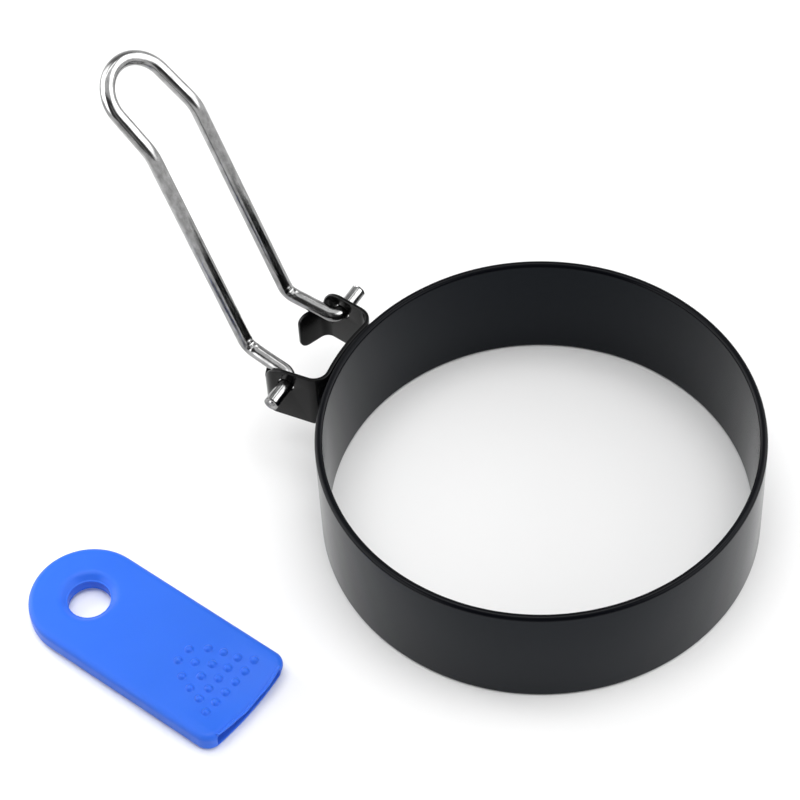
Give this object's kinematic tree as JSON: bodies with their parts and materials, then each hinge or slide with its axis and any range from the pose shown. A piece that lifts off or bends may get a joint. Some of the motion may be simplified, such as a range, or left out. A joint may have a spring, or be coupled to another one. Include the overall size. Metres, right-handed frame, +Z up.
{
  "type": "egg ring",
  "caption": "Coated round egg ring with a bent wire handle hinged in a folded side bracket, which folds over into the ring, and a silicone grip sleeve lying beside it, slipped off the handle.",
  "frame": {"origin": "middle of the footprint of the ring, its handle and the sleeve lying beside them, on the surface that the ring stands on", "axes": "+Z up along the ring's axis; the handle points along -X from the ring; the handle's pins lie along Y, and the sleeve lies on the -Y side"},
  "size_m": [0.139, 0.1264, 0.0843],
  "materials": {
    "black_coating": "satin black non-stick coating on sheet steel",
    "bright_wire": "bright plated steel wire",
    "blue_silicone": "matt moulded silicone"
  },
  "bodies": {
    "ring": {"ring_band": "black_coating", "handle_bracket": "black_coating"},
    "handle": {"wire_handle": "bright_wire"},
    "sleeve": {"grip_sleeve": "blue_silicone"}
  },
  "joints": [
    {"name": "handle_fold", "type": "hinge", "parent": "ring", "child": "handle", "pos_m": [-0.02737, 0.01867, 0.0219], "axis": [0, 1, 0], "range_deg": [0, 127]},
    {"name": "sleeve_lift", "type": "slide", "parent": "ring", "child": "sleeve", "axis": [0, 0, 1], "range_m": [0, 0.085]}
  ]
}
